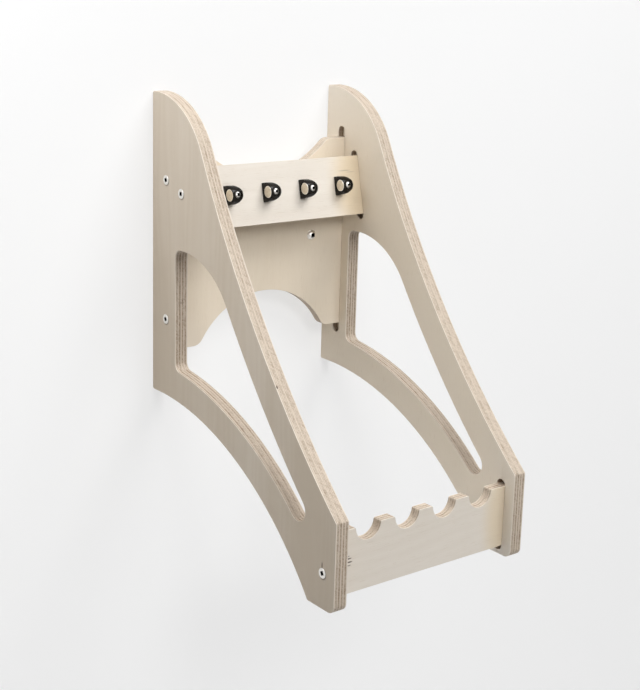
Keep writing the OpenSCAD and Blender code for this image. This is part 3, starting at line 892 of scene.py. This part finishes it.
class StageLook(bpy.types.PropertyGroup):
    wall: colour_setting("Wall", "Colour of the wall and floor", 247, 247, 247)
    backdrop: colour_setting(
        "Backdrop", "Colour seen where the wall is lit fully", 249, 249, 249
    )
    backdrop_share: share_setting(
        "Backdrop share", "How much of the wall keeps its own level in shade", 0.64
    )
    key_power: power_setting("Key lamp", "Power of the large lamp at the upper right", 19.5)
    front_power: power_setting("Front lamp", "Power of the lamp in front", 10.0)
    side_power: power_setting("Side lamp", "Power of the small lamp by the wall on the left", 1.1)
    rear_power: power_setting("Rear lamp", "Power of the lamp behind the wall", 16.0)
    sky: bpy.props.FloatProperty(
        name="Room light", description="Strength of the even light from all round",
        default=0.1, min=0,
    )
    floor_drop: length_setting(
        "Floor", "Distance from the wall screws down to the floor", 1300, 300, 2000
    )


class SAWTILL_OT_sides(bpy.types.Operator):
    """Make the two side panels"""

    bl_idname = "saw_till.sides"
    bl_label = "Side panels"

    def execute(self, context):
        wood = context.scene.saw_till_boards
        # Both sides' marks include painted shade round their sunk screw heads
        left = make_board(LEFT_SIDE, wood, LEFT_SIDE_MARKS + painted_head_shade_marks("left"))
        finish_piece(left, "side_plywood", LEFT_SIDE.node)
        right = make_board(RIGHT_SIDE, wood, painted_head_shade_marks("right"), RIGHT_SIDE_PAINTED_WARM_LIGHT)
        finish_piece(right, "side_plywood", RIGHT_SIDE.node)
        return {"FINISHED"}


class SAWTILL_OT_boards(bpy.types.Operator):
    """Make the back board and the two rails"""

    bl_idname = "saw_till.boards"
    bl_label = "Back board and rails"

    def execute(self, context):
        wood = context.scene.saw_till_boards
        # The back board's warm patch is painted warm bounce light and shade
        for board, marks, warmth in (
            (BACK, (), BACK_PAINTED_WARM_LIGHT),
            (UPPER_RAIL, UPPER_RAIL_MARKS, UPPER_RAIL_WARM_END),
            (LOWER_RAIL, LOWER_RAIL_MARKS, LOWER_RAIL_WARM_END),
        ):
            piece = make_board(board, wood, marks, warmth)
            finish_piece(piece, "board_plywood", board.node)
        return {"FINISHED"}


class SAWTILL_OT_holders(bpy.types.Operator):
    """Make the four plastic saw holders on the leaning rail"""

    bl_idname = "saw_till.holders"
    bl_label = "Saw holders"

    def execute(self, context):
        holders = context.scene.saw_till_holders
        magnets = context.scene.saw_till_magnets
        screws = context.scene.saw_till_screws
        sizes = {
            "Width": holders.width,
            "Height": holders.height,
            "Flat": holders.flat,
            "End radius": holders.end_radius,
            "Screw set-in": holders.setin,
            "Screw seat": holders.seat,
            "Recess diameter": screws.holder_head + 0.4 * MM,
            "Pocket diameter": magnets.diameter + 0.1 * MM,
            "Pocket depth": magnets.thick,
            "Pocket setout": magnets.setout,
        }
        plan = Shape("Saw holder", sizes)
        # Here Z points out of the rail, X along it and Y down it. The body is the skin round four
        # rows of points: at each height, the reach of the round end and of the round nose
        half_height = plan.size("Height") * 0.5
        end_radius = plan.size("End radius")
        row = plan.node("GeometryNodeMeshLine", None, {"Count": HOLDER_SLICES})
        step = plan.node("GeometryNodeInputIndex") / (HOLDER_SLICES - 1)
        down = ((step - 0.5) * math.pi).sine() * half_height
        past = (abs(down) - (half_height - end_radius)).most(0.0)
        bend = (end_radius * end_radius - past * past).most(0.0).root()
        nose = (half_height * half_height - down * down).most(0.0).root()
        rows = []
        for x in (0.0, plan.size("Width") - end_radius + bend):
            for z in (0.0, plan.size("Flat") + nose):
                values = {"Geometry": row, "Position": plan.vector(x, down, z)}
                rows.append(plan.node("GeometryNodeSetPosition", None, values))
        top = plan.size("Flat") + plan.size("Height")
        recess = plan.drum(plan.size("Recess diameter") * 0.5, plan.size("Screw seat"), top)
        recess = plan.moved(recess, (plan.size("Screw set-in"), 0.0, 0.0))
        radius, depth = plan.size("Pocket diameter") * 0.5, plan.size("Pocket depth")
        across_rail = (0.0, math.pi / 2, 0.0)
        pocket = plan.node(
            "GeometryNodeMeshCylinder",
            None,
            {"Vertices": ROUND, "Radius": radius, "Depth": depth * 2.0},
        )
        pocket = plan.moved(pocket, (0.0, 0.0, plan.size("Pocket setout")), across_rail)
        plan.placed(plan.cut(plan.wrapped(*rows), recess, pocket))
        places = [(on_rail(x, 0, holders.rise), out_of_rail()) for x in holder_places(holders)]
        plastic = holder_plastic(holders)
        piece = place_pieces("saw_holders", plan, places, plastic, holders.rounding)
        finish_piece(piece, "holder_plastic", *HOLDER_NODES)
        return {"FINISHED"}


class SAWTILL_OT_magnets(bpy.types.Operator):
    """Make the disc magnets in the holders' left faces"""

    bl_idname = "saw_till.magnets"
    bl_label = "Disc magnets"

    def execute(self, context):
        holders = context.scene.saw_till_holders
        magnets = context.scene.saw_till_magnets
        sizes = {"Diameter": magnets.diameter, "Thickness": magnets.thick, "Chamfer": 0.3 * MM}
        plan = Shape("Disc magnet", sizes)
        half, thick = plan.size("Diameter") * 0.5, plan.size("Thickness")
        chamfer = plan.size("Chamfer")
        wide = plan.drum(half, chamfer - thick, -chamfer, FINE_ROUND)
        narrow = plan.drum(half - chamfer, -thick, 0.0, FINE_ROUND)
        plan.placed(plan.wrapped(wide, narrow))
        places = [
            (on_rail(x, magnets.setout, holders.rise), (-1, 0, 0)) for x in holder_places(holders)
        ]
        # The pale rim is a painted highlight on each magnet's chamfer
        rim = (magnets.diameter / 2, magnets.rim)
        nickel = metal("magnet_nickel", magnets, magnets.nickel, rim=rim)
        piece = place_pieces("disc_magnets", plan, places, nickel, rounding=0.12 * MM, angle=30)
        finish_piece(piece, "magnet_nickel", *MAGNET_NODES)
        return {"FINISHED"}


class SAWTILL_OT_holder_screws(bpy.types.Operator):
    """Make the screws in the noses of the holders"""

    bl_idname = "saw_till.holder_screws"
    bl_label = "Holder screws"

    def execute(self, context):
        holders = context.scene.saw_till_holders
        screws = context.scene.saw_till_screws
        head = screws.holder_head
        rise = head * DOME_SHARE
        plan = screw_shape(
            "Holder screw", screws, head, shank=3 * MM, neck=holders.seat, thread=2.5 * MM,
            length=holders.seat + 7 * MM, rise=rise,
        )
        places = [
            (on_rail(x + holders.setin, holders.seat, holders.rise), out_of_rail())
            for x in holder_places(holders)
        ]
        set_screws("holder_screw", screws, head, rise, plan, places, HOLDER_SCREW_NODES)
        return {"FINISHED"}


class SAWTILL_OT_side_screws(bpy.types.Operator):
    """Make the flat-headed screws through the sides into the boards"""

    bl_idname = "saw_till.side_screws"
    bl_label = "Side screws"

    def execute(self, context):
        screws = context.scene.saw_till_screws
        head, shank = screws.side_head, 4 * MM
        plan = screw_shape(
            "Side screw", screws, head, shank, neck=6.3 * MM, thread=3.5 * MM, length=32 * MM,
            cone=(head - shank) / 2, rim=0.5 * MM, step=3,
        )
        places = [head_place(node) for node in SIDE_SCREW_NODES]
        set_screws("side_screw", screws, head, 0.0, plan, places, SIDE_SCREW_NODES)
        return {"FINISHED"}


class SAWTILL_OT_wall_screws(bpy.types.Operator):
    """Make the two domed screws that hang the till on the wall"""

    bl_idname = "saw_till.wall_screws"
    bl_label = "Wall screws"

    def execute(self, context):
        screws = context.scene.saw_till_screws
        head, seat = screws.wall_head, 25 * MM
        rise = head * DOME_SHARE
        plan = screw_shape(
            "Wall screw", screws, head, shank=4.5 * MM, neck=seat, thread=4 * MM,
            length=50 * MM, rise=rise, step=6,
        )
        places = []
        for node in WALL_SCREW_NODES:
            low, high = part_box(node)
            places.append((((low.x + high.x) / 2, -seat, (low.z + high.z) / 2), (0, -1, 0)))
        set_screws("wall_screw", screws, head, rise, plan, places, WALL_SCREW_NODES)
        return {"FINISHED"}


def stage_finish(name, look):
    """A pale surface that keeps soft shade, seen only from its front."""
    plan = Finish(name)
    haze = plan.noise(plan.place, HAZE_WAVES)
    colour = plan.mix(look.wall, look.backdrop, haze)
    plan.give(
        Base_Color=colour,
        Roughness=PAINT_ROUGH + haze * HAZE_ROUGH,
        Normal=plan.bump(haze, *PAINT_RELIEF),
    )
    pale = plan.node(
        "ShaderNodeEmission", None, {"Color": look.backdrop, "Strength": 1.0}
    )
    surface = Wire(plan, plan.shader.outputs[0])
    lit = plan.mix_shaders(plan.shown() * look.backdrop_share, surface, pale)
    behind = plan.node("ShaderNodeNewGeometry", out="Backfacing")
    both = plan.mix_shaders(behind, lit, plan.node("ShaderNodeBsdfTransparent"))
    plan.feed(plan.tree.nodes["Material Output"].inputs["Surface"], both)
    return plan.material


def sheet(name, corners, material):
    mesh = bpy.data.meshes.new(name)
    mesh.from_pydata(corners, [], [(0, 1, 2, 3)])
    mesh.materials.append(material)
    piece = link(bpy.data.objects.new(name, mesh))
    return piece


def lamp(name, at, towards, size, power):
    light = bpy.data.lights.new(name, "AREA")
    light.shape = "DISK"
    light.size = size
    light.energy = power
    holder = link(bpy.data.objects.new(name, light))
    holder.location = at
    holder.rotation_euler = (Vector(towards) - Vector(at)).to_track_quat("-Z", "Y").to_euler()
    holder.visible_camera = False


def place_camera():
    """The camera at the photograph's angle."""
    camera = bpy.data.cameras.new("camera")
    camera.sensor_width = SENSOR
    camera.lens = SENSOR * FOCAL_LENGTH / IMAGE_HEIGHT
    camera.shift_x = (IMAGE_WIDTH / 2 - CENTRE_X) / IMAGE_HEIGHT
    camera.shift_y = (CENTRE_Y - IMAGE_HEIGHT / 2) / IMAGE_HEIGHT
    viewer = link(bpy.data.objects.new("camera", camera))
    flat = math.cos(ELEVATION)
    back = Vector((math.sin(AZIMUTH) * flat, -math.cos(AZIMUTH) * flat, math.sin(ELEVATION)))
    right = Vector((0, 0, 1)).cross(back).normalized()
    up = back.cross(right)
    level_right = math.cos(ROLL) * right + math.sin(ROLL) * up
    level_up = -math.sin(ROLL) * right + math.cos(ROLL) * up
    turn = Matrix((level_right, level_up, back)).transposed()
    viewer.matrix_world = Matrix.Translation(CAMERA_PLACE) @ turn.to_4x4()
    bpy.context.scene.camera = viewer


def light_room(look):
    """Even light from all round, with the backdrop's colour where it is seen."""
    world = bpy.data.worlds.new("room")
    world.use_nodes = True
    bpy.context.scene.world = world
    plan = Plan(world.node_tree)
    room = plan.tree.nodes["Background"]
    plan.feed(room.inputs["Color"], (1, 1, 1, 1))
    plan.feed(room.inputs["Strength"], look.sky)
    pale = plan.node(
        "ShaderNodeBackground", None, {"Color": look.backdrop, "Strength": 1.0}
    )
    both = plan.mix_shaders(plan.shown(), Wire(plan, room.outputs[0]), pale)
    plan.feed(plan.tree.nodes["World Output"].inputs["Surface"], both)


class SAWTILL_OT_stage(bpy.types.Operator):
    """Make the camera, the wall, the floor and the studio light"""

    bl_idname = "saw_till.stage"
    bl_label = "Stage"

    def execute(self, context):
        look = context.scene.saw_till_stage
        context.scene.view_settings.view_transform = "Standard"
        place_camera()
        far, back, drop = STAGE_REACH, WALL_GAP, -look.floor_drop
        wall = sheet(
            "wall", [(-far, back, drop), (far, back, drop), (far, back, far), (-far, back, far)],
            stage_finish("wall_paint", look),
        )
        wall.visible_shadow = False
        sheet(
            "floor", [(-far, -far, drop), (far, -far, drop), (far, back, drop), (-far, back, drop)],
            stage_finish("floor_paint", look),
        )
        for name, at, towards, size, power in LAMPS:
            lamp(name, at, towards, size, getattr(look, power))
        light_room(look)
        return {"FINISHED"}


class SAWTILL_PT_parts(bpy.types.Panel):
    """The pieces of the saw till"""

    bl_idname = "SAWTILL_PT_parts"
    bl_label = "Saw till"
    bl_space_type = "VIEW_3D"
    bl_region_type = "UI"
    bl_category = "Saw till"

    def draw(self, context):
        for maker in MAKERS:
            self.layout.operator(maker.bl_idname, text=maker.bl_label)
        for look in LOOKS:
            box = self.layout.box()
            settings = getattr(context.scene, look)
            for name in settings.bl_rna.properties.keys():
                if name not in {"rna_type", "name"}:
                    box.prop(settings, name)


LOOKS = {
    "saw_till_boards": BoardLook,
    "saw_till_holders": HolderLook,
    "saw_till_magnets": MagnetLook,
    "saw_till_screws": ScrewLook,
    "saw_till_stage": StageLook,
}
MAKERS = [
    SAWTILL_OT_stage,
    SAWTILL_OT_sides,
    SAWTILL_OT_boards,
    SAWTILL_OT_holders,
    SAWTILL_OT_magnets,
    SAWTILL_OT_holder_screws,
    SAWTILL_OT_side_screws,
    SAWTILL_OT_wall_screws,
]


def register():
    for kind in [*LOOKS.values(), *MAKERS, SAWTILL_PT_parts]:
        bpy.utils.register_class(kind)
    for name, kind in LOOKS.items():
        setattr(bpy.types.Scene, name, bpy.props.PointerProperty(type=kind))


def unregister():
    for name in LOOKS:
        delattr(bpy.types.Scene, name)
    for kind in [SAWTILL_PT_parts, *reversed(MAKERS), *reversed(LOOKS.values())]:
        bpy.utils.unregister_class(kind)


def main():
    register()
    bpy.ops.saw_till.stage()
    bpy.ops.saw_till.sides()
    bpy.ops.saw_till.boards()
    bpy.ops.saw_till.holders()
    bpy.ops.saw_till.magnets()
    bpy.ops.saw_till.holder_screws()
    bpy.ops.saw_till.side_screws()
    bpy.ops.saw_till.wall_screws()


if __name__ == "__main__":
    main()
